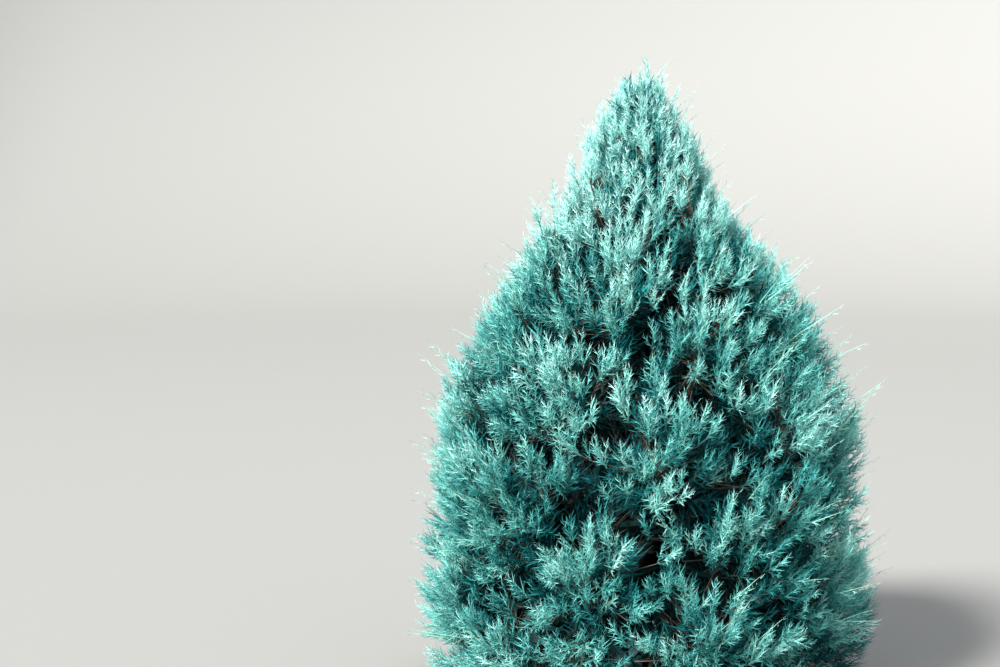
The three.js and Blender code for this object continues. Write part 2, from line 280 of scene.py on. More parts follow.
def swept_tube(centres, radius, sides, relief, level=False):
    """Points and faces of a closed tube along a path; radius and relief are functions of step and angle"""
    centres = np.asarray(centres)
    steps = len(centres)
    tangents = np.tile((0.0, 0.0, 1.0), (steps, 1)) if level else np.gradient(centres, axis=0)
    tangents /= np.linalg.norm(tangents, axis=1)[:, None]
    across = np.cross(tangents, SIDEWAYS)
    across /= np.linalg.norm(across, axis=1)[:, None]
    over = np.cross(tangents, across)
    points = []
    for step in range(steps):
        for side in range(sides):
            angle = 2 * math.pi * side / sides
            spoke = math.cos(angle) * across[step] + math.sin(angle) * over[step]
            points.append(centres[step] + (radius(step, angle) + relief(step, angle)) * spoke)
    faces = []
    for step in range(steps - 1):
        low, high = step * sides, (step + 1) * sides
        for side in range(sides):
            after = (side + 1) % sides
            faces.append((low + side, low + after, high + after, high + side))
    faces.append(tuple(range(sides))[::-1])
    faces.append(tuple(range((steps - 1) * sides, steps * sides)))
    return points, faces


def cloudy(tree, place, scale, detail=2):
    """How strong a cloudy pattern is at each place"""
    return output(add(tree, "ShaderNodeTexNoise", {"Vector": place, "Scale": scale, "Detail": detail}), "Fac")


def shaded_by(tree, pattern, *stops):
    """A colour that follows a pattern; each stop gives how strong it is there, and the colour"""
    made = add(tree, "ShaderNodeValToRGB", {"Fac": pattern})
    for element, (strength, colour) in zip(made.color_ramp.elements, stops):
        element.position = strength
        element.color = colour
    return output(made, "Color")


def roughen(tree, shader, pattern, strength, depth):
    """Makes a surface look raised where a pattern is strong"""
    bump = add(tree, "ShaderNodeBump", {"Height": pattern, "Strength": strength, "Distance": depth})
    tree.links.new(output(bump), shader.inputs["Normal"])


def bark_finish(name, dark, red, grey):
    """Dark cracks between narrow upright strips, with weathered grey patches"""
    bark, tree, shader = material_with_nodes(name, BARK_ROUGHNESS)
    place = output(add(tree, "ShaderNodeTexCoord"), "Object")
    grain = output(add(tree, "ShaderNodeMapping", {"Vector": place, "Scale": BARK_GRAIN}))
    strips = cloudy(tree, grain, 1, BARK_DETAIL)
    fresh = shaded_by(tree, strips, (CRACKS_TO, dark), (STRIPS_FROM, red))
    weathered = mixed(tree, cloudy(tree, place, BARK_PATCHES), fresh, grey)
    tree.links.new(weathered, shader.inputs["Base Color"])
    roughen(tree, shader, strips, BARK_BUMP, BARK_BUMP_DEPTH)
    return bark


def trunk_with_bark():
    rises = (np.arange(TRUNK_STEPS + 1) / TRUNK_STEPS) ** TRUNK_STEP_EASE

    def radius(step, angle):
        z = TRUNK_TOP * rises[step]
        taper = TRUNK_TIP_RADIUS + (TRUNK_RADIUS - TRUNK_TIP_RADIUS) * (1 - rises[step]) ** TRUNK_TAPER
        lobe = 1 - LOBE_DEPTH + LOBE_DEPTH * math.cos(FLARE_LOBES * angle)
        return taper + FLARE_RADIUS * math.exp(-z / FLARE_HEIGHT) * lobe

    def relief(step, angle):
        depth = BARK_DEPTH * min(1, BARK_FADE - rises[step])
        return depth * (bark_relief(angle, TRUNK_TOP * rises[step], TRUNK_STRIPS) - BARK_MIDDLE)

    centres = [trunk_centre(TRUNK_TOP * rise) for rise in rises]
    return swept_tube(centres, radius, TRUNK_SIDES, relief, level=True)


bark = bark_finish("peeling bark", BARK_DARK, BARK_RED, BARK_GREY)
trunk = mesh_object("trunk_bark", *trunk_with_bark())
trunk.data.materials.append(bark)
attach(trunk, "root")
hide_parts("trunk")


# The boughs leave the trunk in a spiral, nearly level at the foot and steep at the top, and curl upwards on
# the way. Each is one tapering limb under the same bark, and runs on inside its plume of foliage as a stem.
# In the upper crown the stems leave the trunk itself.
CROWN_TIP_RADIUS = 0.026
CROWN_SPREAD = 0.688
CROWN_EASE = 0.92
SKIRT_HEIGHT = 0.26
SKIRT_TUCK = 0.1
PLUMES = 36
BOUGHS = 22
PLUME_LOW = 0.105
PLUME_HIGH = 1.6
PLUME_CROWDING = 0.85
GOLDEN_ANGLE = math.radians(137.508)
SPIRAL_START = math.radians(230)
STEEP_TOP = 27
STEEP_RANGE = 54
STEEP_BEND = 1.3
LIMB_CURL = 13
FLATTEST = 88
LIMB_REACH = 0.84
LIMB_RADIUS = 0.0115
LIMB_SLIM = 0.0065
LIMB_END = 0.3
LOWEST_ROOT = 0.05
BOUGH_SHARE = 0.42
STEM_SHARE = 0.97
FORK_FROM = 0.5
LEADER_FORK_FROM = 0.1
LEADER_FROM = 1.4
LEADER_END = 1.768
LEADER_NUDGE = 0.014
HEART = 0.8
SPINE = (0.55, 0.7, 0.85, 1)
LIMB_SIDES = 12
BOUGH_STEPS = 20
STEM_STEPS = 24
LIMB_STRIPS = 3
LIMB_BARK_DEPTH = 0.16
LIMB_BARK_MIDDLE = 0.8
UP = np.array([0.0, 0.0, 1.0])
ASLANT = UP + 0.01
ALMOST_ZERO = 1e-9


def unit(vectors):
    return vectors / np.maximum(np.linalg.norm(vectors, axis=-1, keepdims=True), ALMOST_ZERO)


def crown_radius(z):
    spread = CROWN_SPREAD * math.tanh(max(0, HEIGHT - z) / CROWN_EASE)
    tuck = 1 - SKIRT_TUCK * max(0, 1 - z / SKIRT_HEIGHT) ** 2
    return (CROWN_TIP_RADIUS + spread) * tuck


def heading(angle):
    return np.array([math.cos(angle), math.sin(angle), 0.0])


def on_curve(plume, at):
    root, bend, end = plume["curve"]
    return (1 - at) ** 2 * root + 2 * at * (1 - at) * bend + at**2 * end


def direction_at(plume, at):
    root, bend, end = plume["curve"]
    return unit(2 * (1 - at) * (bend - root) + 2 * at * (end - bend))


def limb_radius(plume, at):
    return plume["radius"] * (1 - (1 - LIMB_END) * at)


def side_limb(i):
    t = (i + 0.5) / PLUMES
    z = PLUME_LOW + (PLUME_HIGH - PLUME_LOW) * (1 - (1 - t) ** PLUME_CROWDING)
    outward = heading(SPIRAL_START + i * GOLDEN_ANGLE)
    lean = STEEP_TOP + STEEP_RANGE * (1 - z / HEIGHT) ** STEEP_BEND
    reach = LIMB_REACH * crown_radius(z)
    bend_z = z - reach / 2 / math.tan(math.radians(lean - LIMB_CURL))
    root_z = bend_z - reach / 2 / math.tan(math.radians(min(lean + LIMB_CURL, FLATTEST)))
    root = trunk_centre(max(LOWEST_ROOT, root_z))
    bend = root + outward * reach / 2
    bend[2] = max(bend_z, root[2])
    end = trunk_centre(z) + outward * reach
    return {
        "node": f"{i + 1:02d}",
        "curve": (root, bend, end),
        "radius": LIMB_RADIUS - LIMB_SLIM * z / HEIGHT,
        "fork_from": FORK_FROM,
        "has_bough": i < BOUGHS,
    }


def leading_limb():
    end = trunk_centre(LEADER_END) + np.array([LEADER_NUDGE, 0, 0])
    return {
        "node": "leader",
        "curve": (trunk_centre(LEADER_FROM), trunk_centre(TRUNK_TOP), end),
        "radius": TRUNK_TIP_RADIUS,
        "fork_from": LEADER_FORK_FROM,
        "has_bough": False,
    }


def limb_with_bark(plume, first, last, steps):
    """One stretch of a limb, from the first to the last share of its length"""
    shares = np.linspace(first, last, steps + 1)
    length = np.linalg.norm(plume["curve"][2] - plume["curve"][0])

    def radius(step, angle):
        return limb_radius(plume, shares[step])

    def relief(step, angle):
        depth = LIMB_BARK_DEPTH * limb_radius(plume, shares[step])
        return depth * (bark_relief(angle, shares[step] * length, LIMB_STRIPS) - LIMB_BARK_MIDDLE)

    return swept_tube([on_curve(plume, at) for at in shares], radius, LIMB_SIDES, relief)


def joined(tubes):
    points, faces = [], []
    for more_points, more_faces in tubes:
        faces += [tuple(i + len(points) for i in face) for face in more_faces]
        points += more_points
    return points, faces


plumes = [side_limb(i) for i in range(PLUMES)] + [leading_limb()]
for plume in plumes:
    plume["heart"] = on_curve(plume, HEART)
    plume["spine"] = np.array([on_curve(plume, at) for at in SPINE])
for plume in plumes:
    others = [other for other in plumes if other is not plume]
    plume["spacing"] = min(np.linalg.norm(other["heart"] - plume["heart"]) for other in others)

with_bough = [plume for plume in plumes if plume["has_bough"]]
foliage_nodes = ["foliage_" + plume["node"] for plume in plumes]

bough_tubes = [limb_with_bark(plume, 0, BOUGH_SHARE, BOUGH_STEPS) for plume in with_bough]
boughs = mesh_object("boughs_bark", *joined(bough_tubes))
boughs.data.materials.append(bark)
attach(boughs, "root")
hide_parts(*["bough_" + plume["node"] for plume in with_bough])

stem_tubes = []
for plume in plumes:
    first = BOUGH_SHARE if plume["has_bough"] else 0
    stem_tubes.append(limb_with_bark(plume, first, STEM_SHARE, STEM_STEPS))
stems = mesh_object("stems_bark", *joined(stem_tubes))
stems.data.materials.append(bark)
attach(stems, "root")
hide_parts(*foliage_nodes)


# Branches fork off the stems at an even angle, and their tips lie in a spiral over the whole crown. Each ends
# in a feather of green sprays, which point up and out, and every fourth, like each stem's own end, carries a
# long whip too. Along the shaded foot of a branch, only dry brown sprays are left.
SEED = 1809
DRAW_FACTOR = 1664525
DRAW_STEP = 1013904223
DRAW_RANGE = 2**32
SPRAYS = 214
SPRAY_CROWDING = 0.82
LOWEST_SPRAY = 0.034
TURN_JITTER = 0.12
FORK_TOP = 28
FORK_RANGE = 20
FORK_TO = 0.96
FORK_STEP = 0.02
LEADING_FROM = 0.86
LEADING_REACH = 0.038
LEADING_STEP = 0.005
WHIP_EVERY = 4
WHIP_REACH = 0.062
WHIP_LENGTH = 0.15
DOME = 0.12
RAGGED = 0.04
TOP_SIZE = 0.5
FULL_SIZE_DROP = 0.9
SHORTEST_BRANCH = 0.04
BRANCH_RADIUS = 0.0032
BRANCH_TIP_RADIUS = BRANCH_RADIUS / 3
BRANCH_TONE_VARIES = 0.3

# How the sprays of one feather stand, and how pale a tint each gets. The tints are painted light and shade:
# sprays further back are painted darker, all a little darker, and those near the top paler, partly for the
# top's paler bloom and partly as painted light.
SPRAY_LENGTH = 0.08
SPRAY_LENGTH_VARIES = (0.7, 1.15)
SPRAY_SPACING = 0.01
SPACING_VARIES = (0.5, 1.5)
SPRAY_LIFT = 0.15
FEATHER_SPREAD = math.radians(38)
SPREAD_VARIES = (0.7, 1.3)
FEATHERED_SHARE = 0.8
OUTER_SPRAYS = 5
DIMMER_BEHIND = 0.25
DIMMER_IN_ALL = 0.08
PALER_AND_LIT_TOP = 1.0
PALER_AND_LIT_FROM = 0.5

# The dry sprays along the foot of each branch
DRY_SPRAYS = 6
DRY_TO = 0.7
DRY_FORK = math.radians(50)
DRY_LIFT = 0.2
DRY_LENGTH = 0.13
DRY_LENGTH_VARIES = (0.7, 1.3)


def seeded(seed):
    """Even draws from 0 to 1, the same in each run"""
    state = seed
    while True:
        state = (state * DRAW_FACTOR + DRAW_STEP) % DRAW_RANGE
        yield state / DRAW_RANGE


def fork_point(plume, tip):
    fork = math.radians(FORK_TOP + FORK_RANGE * (1 - tip[2] / HEIGHT))
    places = np.arange(plume["fork_from"], FORK_TO, FORK_STEP)

    def miss(at):
        towards = unit(tip - on_curve(plume, at))
        return abs(math.acos(np.clip(towards @ direction_at(plume, at), -1, 1)) - fork)

    return on_curve(plume, min(places, key=miss))


def leading_branches():
    """Each stem runs on to the crown's outline, and the leader's to its very top"""
    for plume in plumes:
        along, tip = direction_at(plume, 1), on_curve(plume, 1)
        while tip[2] < HEIGHT:
            if np.linalg.norm((tip - trunk_centre(tip[2]))[:2]) >= crown_radius(tip[2]) + LEADING_REACH:
                break
            tip = tip + along * LEADING_STEP
        tip[2] = HEIGHT if plume["node"] == "leader" else min(tip[2], HEIGHT)
        yield {"root": on_curve(plume, LEADING_FROM), "tip": tip, "whip": True, "off": 0.0}


def side_branches():
    """Each tip belongs to the nearest stem, and lies deeper the further off that stem's end it is"""
    draw = seeded(SEED)
    for k in range(SPRAYS):
        t = (k + 0.5) / SPRAYS
        z = LOWEST_SPRAY + (LEADER_END - LOWEST_SPRAY) * (1 - (1 - t) ** SPRAY_CROWDING)
        outward = heading(k * GOLDEN_ANGLE + TURN_JITTER * (next(draw) - 0.5))
        on_outline = trunk_centre(z) + outward * crown_radius(z)
        plume = min(plumes, key=lambda each: np.linalg.norm(each["spine"] - on_outline, axis=1).min())
        off = min(1, np.linalg.norm(plume["curve"][2] - on_outline) / plume["spacing"])
        share = 1 - DOME * off**2 + RAGGED * (next(draw) - 0.5)
        tip = trunk_centre(z) + outward * crown_radius(z) * share
        root = fork_point(plume, tip)
        whip = k % WHIP_EVERY == 0
        if whip:
            tip = tip + unit(tip - root) * WHIP_REACH
        yield {"root": root, "tip": tip, "whip": whip, "off": off}


def turned_out(axis, angle, spin, rise):
    """The direction at an angle to an axis, turned round it by the spin and lifted towards the light"""
    across = unit(np.cross(axis, ASLANT))
    radial = math.cos(spin) * across + math.sin(spin) * np.cross(axis, across)
    return unit(math.cos(angle) * axis + math.sin(angle) * radial + rise * UP)


def full_size(z):
    """How large what grows at a height is, from its smallest at the top to 1"""
    return TOP_SIZE + (1 - TOP_SIZE) * min(1, (HEIGHT - z) / FULL_SIZE_DROP)


def feather(end, along, length, count, size, lit, chance, kind="green"):
    """Sprays at the end of a twig: one carries it on, and the others fan out behind it, on all sides"""
    spin = 2 * math.pi * chance.random()
    for j in range(count):
        back = min(length, j * SPRAY_SPACING * size * chance.uniform(*SPACING_VARIES))
        fork = FEATHER_SPREAD * math.sqrt(j / count) * chance.uniform(*SPREAD_VARIES)
        # painted light and shade: sprays further back are darker, and those near the top paler, partly for
        # their paler bloom
        paler = PALER_AND_LIT_TOP * max(0, end[2] / HEIGHT - PALER_AND_LIT_FROM)
        yield {
            "base": end - along * back,
            "along": turned_out(along, fork, spin + j * GOLDEN_ANGLE, SPRAY_LIFT),
            "length": SPRAY_LENGTH * size * chance.uniform(*SPRAY_LENGTH_VARIES),
            "lit": lit - DIMMER_BEHIND * j / OUTER_SPRAYS + paler - DIMMER_IN_ALL,
            "kind": kind,
        }


def main_branch(branch, chance):
    """A branch, the whip and feather at its end, and the dry sprays along its shaded foot"""
    root, tip = branch["root"], branch["tip"]
    axis = unit(tip - root)
    size = full_size(root[2])
    end = tip - axis * size * (WHIP_LENGTH if branch["whip"] else SPRAY_LENGTH)
    length = max(SHORTEST_BRANCH, (end - root) @ axis)
    end = root + axis * length
    # a branch's tone varies a little at random, and adds to the painted light of its sprays
    branch.update(axis=axis, length=length, glow=BRANCH_TONE_VARIES * (chance.random() - 0.5))
    twig_lines.append(([root, end], [BRANCH_RADIUS, BRANCH_TIP_RADIUS]))
    if branch["whip"]:
        sprays.append({"base": end, "along": axis, "length": WHIP_LENGTH * size, "lit": 1, "kind": "whip"})
    feathered = FEATHERED_SHARE * length
    sprays.extend(feather(end, axis, feathered, OUTER_SPRAYS, size, 1 + branch["glow"], chance))
    spin = 2 * math.pi * chance.random()
    for i in range(DRY_SPRAYS):
        foot = root + axis * length * (i + chance.random()) / DRY_SPRAYS * DRY_TO
        along = turned_out(axis, DRY_FORK, spin + i * GOLDEN_ANGLE, DRY_LIFT)
        dry_length = DRY_LENGTH * size * chance.uniform(*DRY_LENGTH_VARIES)
        sprays.append({"base": foot, "along": along, "length": dry_length, "lit": 0, "kind": "dry"})


# Finer twigs start all along the branches and end close together over the whole outline, in one clump to each
# branch, with shaded hollows between the clumps. Deeper layers fill the inside: shaded twigs, dry twigs and,
# deepest in, a dark fill of twigs; the dark tints of the shaded twigs and of the fill are painted shade. A
# tuft of upright shoots stands round the plant's very tip.
OUTER_TIPS = 1620
# painted shade: each layer's lit sets how pale its tints are, the outer shaded layer paler than the next
SHADED_LAYERS = (
    {"count": 560, "share": 0.91, "larger": 1.1, "kind": "shaded", "lit": 0.9},
    {"count": 420, "share": 0.79, "larger": 1.45, "kind": "shaded", "lit": 0.3},
    {"count": 280, "share": 0.67, "larger": 1.7, "kind": "dry", "lit": 0},
    {"count": 260, "share": 0.5, "larger": 2.3, "kind": "shade_fill", "lit": 0},
    {"count": 130, "share": 0.32, "larger": 2.7, "kind": "shade_fill", "lit": 0},
)
INNER_SPRAYS = 5
TIP_JITTER = 0.3
TOP_SHARE = 0.46
HEIGHT_STEPS = 400
LOWEST_TWIG = 0.02
TWIG_LENGTH = 0.05
TWIG_RADIUS = 0.0013
TWIG_TAPER = (1.6, 1.2, 1)
TWIG_SIZE_AT_TOP = 0.75

# The outline: its shoulder, its neck, its cap and its drift to one side
FULLER = 0.052
FULLER_EAST = 0.025
SHOULDER = 0.08
SHOULDER_HEIGHT = 0.9
SHOULDER_EASE = 0.27
NECK = 0.19
NECK_HEIGHT = 1.46
NECK_EASE = 0.12
CAP = 0.5
CAP_EASE = 0.04
EAST_DRIFT = 0.018
DRIFT_FROM = 0.8
DRIFT_OVER = 0.4

# The clumps and the hollows between them
CLUMP_RADIUS = 0.19
CLUMP_VARIES = (0.55, 1.45)
CLUMP_DOME = 0.068
BRANCH_DOME = 0.5 * DOME
FLATTER = 1.9
UNDERSIDE = 0.8
HOLLOW_VARIES = 2.0
HOLLOW_SCALE = 5.5
HOLLOW_SHIFT = 31.3
LEAST_HOLLOW = 0.2
MOST_HOLLOW = 1.6

# Which way a twig points, and where on its branch it starts
FLAT_RISE = math.radians(14)
STEEP_RISE = math.radians(58)
FAN_LENGTH = 0.17
FANNED = 0.6
TWIG_WANDER = 0.4
LEAST_SPLAY = 0.6
SPLAY_VARIES = 1.1
TWIGS_FROM = 0.1
TWIGS_TO = 0.95

# Painted shade: how much darker a twig's tint is at the edge of its clump, in the hollows, and on the upper
# side away from the light
DIMMER_ASIDE = 0.5
PAINTED_SHADE_EAST = 0.15
PAINTED_SHADE_EDGE = 3
PAINTED_SHADE_FROM = 0.9
PAINTED_SHADE_OVER = 0.3

# The small whips, which stand out of the outline
SMALL_WHIP_EVERY = 3
SMALL_WHIP_LENGTH = 0.16
SMALL_WHIP_VARIES = (0.7, 1.3)
SMALL_WHIP_REACH = 0.065
REACH_VARIES = (0.3, 1.5)
WHIP_OUTWARD = 0.7
WHIP_LIFT = 0.1
WHIP_WANDER = 0.5
WHIP_WITHIN = 0.7

# The tuft at the tip: its shoots stand lower, wider apart and more aslant the further out they are
LEADING_SHOOTS = 18
LEADING_SHOOT_LENGTH = 0.068
LEADING_LENGTH_VARIES = (0.85, 1.15)
LEADING_LIT = (0.75, 1.05)
LEADING_DROP = 0.05
OUTER_DROP = 0.08
OUTER_REACH = 0.85
LEADING_LEAN = 0.1
OUTER_LEAN = 0.8

# What is left out: whatever reaches the ground, stands too far out, or is dry and near the outside
HALF_WIDTH = {"green": 0.42, "whip": 0.3, "shaded": 0.68, "dry": 0.62, "shade_fill": 0.62}
DEPTHS = {"dry": 0.09, "shade_fill": 0.19}
SIDE_SHARE = 0.4
GROUND_GAP = 0.006
PROUD = np.array([0.04, 0.04, 0])
PROUD_TOP = 0.001


def even_heights(count):
    """Heights that share out the crown's outline evenly, with a little more for its top"""
    heights = np.linspace(LOWEST_SPRAY, LEADER_END, HEIGHT_STEPS)
    areas = np.cumsum([crown_radius(z) + TOP_SHARE for z in heights])
    return np.interp((np.arange(count) + 0.5) / count, areas / areas[-1], heights)


def twig_size(z):
    return TWIG_SIZE_AT_TOP + (1 - TWIG_SIZE_AT_TOP) * min(1, (HEIGHT - z) / FULL_SIZE_DROP)


def fuller(z, outward):
    """How much wider than its even outline the crown is, with its shoulder, its neck and its cap"""
    shoulder = SHOULDER * math.exp(-(((z - SHOULDER_HEIGHT) / SHOULDER_EASE) ** 2))
    neck = NECK * math.exp(-(((z - NECK_HEIGHT) / NECK_EASE) ** 2))
    cap = CAP * math.exp(-(HEIGHT - z) / CAP_EASE)
    return FULLER * min(1, (HEIGHT - z) / FULL_SIZE_DROP) + FULLER_EAST * outward[0] + shoulder - neck + cap


def flattened(direction, most):
    """A direction that rises no more than it may, so that what grows along it starts above the ground"""
    level = unit(direction * (1, 1, 0))
    rise = min(direction[2], most)
    return level * math.sqrt(1 - rise**2) + rise * UP


def clump_of(on_outline):
    """The branch whose clump a place on the outline lies in, and how far off its middle, from 0 to 1"""
    apart = (branch_tips - on_outline) * (1, 1, FLATTER)
    distance = np.linalg.norm(apart, axis=1)
    from_below = np.maximum(0, apart[:, 2]) / np.maximum(distance, ALMOST_ZERO)
    reach = distance * (1 + UNDERSIDE * from_below) / clump_reach
    nearest = int(np.argmin(reach))
    return branches[nearest], min(1, reach[nearest])


def hollow_depth(on_outline, branch, off):
    """How deep the crown is at a place, as a share of its radius: deeper between the clumps, and uneven"""
    hollow = noise.noise(Vector(HOLLOW_SCALE * on_outline + HOLLOW_SHIFT * UP))
    uneven = np.clip(1 + HOLLOW_VARIES * hollow, LEAST_HOLLOW, MOST_HOLLOW)
    return (BRANCH_DOME * branch["off"] ** 2 + CLUMP_DOME * off**2) * full_size(on_outline[2]) ** 2 * uneven


def twig_direction(z, outward, tip, branch, chance):
    """Outwards and up, steeper towards the top, and fanned out from the end of its branch"""
    rise = FLAT_RISE + (STEEP_RISE - FLAT_RISE) * z / HEIGHT
    grain = math.cos(rise) * outward + math.sin(rise) * UP
    fan = unit(tip - branch["tip"] + FAN_LENGTH * full_size(z) * branch["axis"])
    fanned = FANNED * full_size(z) ** 2
    return unit((1 - fanned) * grain + fanned * fan + TWIG_WANDER * (chance.random(3) - 0.5))


def start_on_branch(k, foot, branch):
    """Where on its branch a twig starts: each further back the further aside it ends"""
    passed = (foot - branch["root"]) @ branch["axis"]
    aside = np.linalg.norm(foot - branch["root"] - passed * branch["axis"])
    splay = LEAST_SPLAY + SPLAY_VARIES * (k * GOLDEN_ANGLE % 1)
    at = np.clip(passed - splay * aside, TWIGS_FROM * branch["length"], TWIGS_TO * branch["length"])
    return branch["root"] + branch["axis"] * at


def small_whip(tip, along, outward, size, chance):
    """A long pale shoot that stands out of the outline at a twig's tip"""
    length = SMALL_WHIP_LENGTH * size * chance.uniform(*SMALL_WHIP_VARIES)
    along = unit(along + WHIP_OUTWARD * outward + WHIP_LIFT * UP + WHIP_WANDER * (chance.random(3) - 0.5))
    along = flattened(along, (tip[2] - LOWEST_TWIG) / length)
    base = tip + along * (SMALL_WHIP_REACH * size * chance.uniform(*REACH_VARIES) - length)
    return {"base": base, "along": along, "length": length, "lit": 1, "kind": "whip"}


def fine_tips(count, share, larger, kind, chance, lit=1.0):
    """Twigs that end all over the outline, or over a share of it, each on the branch of its clump"""
    for k, z in enumerate(even_heights(count)):
        outward = heading((k + larger) * GOLDEN_ANGLE + TIP_JITTER * (chance.random() - 0.5))
        on_outline = trunk_centre(z) + outward * crown_radius(z)
        branch, off = clump_of(on_outline)
        depth = hollow_depth(on_outline, branch, off) + RAGGED * (chance.random() - 0.5)
        size = twig_size(z) * larger
        tip = trunk_centre(z) + outward * crown_radius(z) * (share + fuller(z, outward) - depth)
        tip[0] += EAST_DRIFT * np.clip((z - DRIFT_FROM) / DRIFT_OVER, 0, 1)
        along = twig_direction(z, outward, tip, branch, chance)
        along = flattened(along, (tip[2] - LOWEST_TWIG) / (SPRAY_LENGTH + TWIG_LENGTH) / size)
        end = tip - along * SPRAY_LENGTH * size
        foot = end - along * TWIG_LENGTH * size
        radii = [TWIG_RADIUS * taper for taper in TWIG_TAPER]
        twig_lines.append(([start_on_branch(k, foot, branch), foot, end], radii))
        # painted shade: twigs at a clump's edge, in the hollows, and on the upper east side away from the
        # light get darker tints
        glow = lit * (1 - DIMMER_ASIDE * full_size(z) * off**2 + branch["glow"])
        towards_east = np.clip(PAINTED_SHADE_EDGE * outward[0], 0, 1)
        glow -= PAINTED_SHADE_EAST * towards_east * np.clip((z - PAINTED_SHADE_FROM) / PAINTED_SHADE_OVER, 0, 1)
        spray_count = OUTER_SPRAYS if kind == "green" else INNER_SPRAYS
        sprays.extend(feather(end, along, TWIG_LENGTH * size, spray_count, size, glow, chance, kind))
        if kind == "green" and k % SMALL_WHIP_EVERY == 0:
            whip = small_whip(tip, along, outward, size, chance)
            if off < WHIP_WITHIN:
                sprays.append(whip)


def leading_shoots(tip):
    """The tuft of shoots at the plant's very tip"""
    draw = np.random.default_rng(SEED + 1)
    for k in range(LEADING_SHOOTS):
        out = k / LEADING_SHOOTS
        drop = LEADING_DROP + OUTER_DROP * out
        lean = LEADING_LEAN + OUTER_LEAN * out
        outward = heading(k * GOLDEN_ANGLE)
        length = LEADING_SHOOT_LENGTH * draw.uniform(*LEADING_LENGTH_VARIES)
        yield {
            "base": tip - drop * UP + OUTER_REACH * out * crown_radius(HEIGHT - drop) * outward,
            "along": unit(math.sin(lean) * outward + math.cos(lean) * UP),
            "length": length,
            "lit": draw.uniform(*LEADING_LIT),
            "kind": "whip" if k % 2 else "green",
        }


def fits(spray):
    """Is it off the ground, within the plant's reach and, where it is dry or part of the dark fill of painted
    shade, well inside the crown?
    """
    end = spray["base"] + spray["along"] * spray["length"]
    sideways = HALF_WIDTH[spray["kind"]] * spray["length"] * math.sqrt(max(0, 1 - spray["along"][2] ** 2))
    from_trunk = np.linalg.norm((end - trunk_centre(end[2]))[:2])
    depth = DEPTHS.get(spray["kind"])
    is_inside = depth is None or from_trunk + SIDE_SHARE * sideways < crown_radius(end[2]) - depth
    is_low = min(spray["base"][2], end[2]) - sideways < GROUND_GAP
    is_far = np.any(end < furthest_low) or np.any(end > furthest_high)
    return is_inside and not is_low and not is_far


furthest_low = np.array(cad_low) - PROUD
furthest_high = np.array(cad_high) + PROUD + PROUD_TOP * UP
chance = np.random.default_rng(SEED)
branches = [*leading_branches(), *side_branches()]
branch_tips = np.array([branch["tip"] for branch in branches])
clump_reach = CLUMP_RADIUS * chance.uniform(*CLUMP_VARIES, len(branches))
twig_lines, sprays = [], []
for branch in branches:
    main_branch(branch, chance)
fine_tips(OUTER_TIPS, 1, 1, "green", chance)
for layer in SHADED_LAYERS:
    fine_tips(**layer, chance=chance)
sprays = [spray for spray in sprays if fits(spray)]
leader_tip = branches[len(plumes) - 1]["tip"]
sprays.extend(leading_shoots(leader_tip + np.array([EAST_DRIFT, 0, 0])))


# The branches and twigs are round woody stalks under thin grey-brown bark. Each is thickest where it leaves
# what carries it, and tapers to where its sprays begin.
YOUNG_DARK = (0.03, 0.026, 0.02, 1)
YOUNG_BROWN = (0.083, 0.068, 0.046, 1)
YOUNG_GREY = (0.13, 0.112, 0.084, 1)
TWIG_SIDES = 3


def new_tree(name, inputs):
    """An empty Geometry Nodes tree with named inputs; returns it with its input and output nodes"""
    tree = bpy.data.node_groups.new(name, "GeometryNodeTree")
    tree.interface.new_socket("Geometry", in_out="INPUT", socket_type="NodeSocketGeometry")
    for label, kind in inputs.items():
        tree.interface.new_socket(label, in_out="INPUT", socket_type="NodeSocket" + kind)
    tree.interface.new_socket("Geometry", in_out="OUTPUT", socket_type="NodeSocketGeometry")
    return tree, tree.nodes.new("NodeGroupInput").outputs, tree.nodes.new("NodeGroupOutput").inputs


def finished(tree, geometry, finish, result):
    """Gives the tree's shape its material and sends it out"""
    covered = add(tree, "GeometryNodeSetMaterial", {"Geometry": geometry, "Material": finish})
    tree.links.new(output(covered), result["Geometry"])
    return tree


def through_tree(source, tree, values, name):
    """The plain mesh that a tree makes of an object, which is then gone"""
    modifier = source.modifiers.new("shape", "NODES")
    modifier.node_group = tree
    sockets = {item.name: item.identifier for item in tree.interface.items_tree if item.in_out == "INPUT"}
    for label, value in values.items():
        modifier[sockets[label]] = value
    evaluated = source.evaluated_get(bpy.context.evaluated_depsgraph_get())
    mesh = bpy.data.meshes.new_from_object(evaluated)
    source.modifiers.remove(modifier)
    bpy.data.objects.remove(source)
    made = bpy.data.objects.new(name, mesh)
    bpy.context.collection.objects.link(made)
    return made


def stalk_tree():
    """Round stalks along lines, as thick as each point says"""
    tree, given, result = new_tree("Stalks along lines", {"Sides": "Int", "Finish": "Material"})
    radius = add(tree, "GeometryNodeInputNamedAttribute", {"Name": "radius"}, data_type="FLOAT")
    curve = add(tree, "GeometryNodeMeshToCurve", {"Mesh": given["Geometry"]})
    ring = add(tree, "GeometryNodeCurvePrimitiveCircle", {"Resolution": given["Sides"], "Radius": 1.0})
    sweep = {"Curve": output(curve), "Profile Curve": output(ring), "Scale": output(radius)}
    tube = add(tree, "GeometryNodeCurveToMesh", sweep | {"Fill Caps": True})
    real = add(tree, "GeometryNodeRealizeInstances", {"Geometry": output(tube)})
    return finished(tree, output(real), given["Finish"], result)


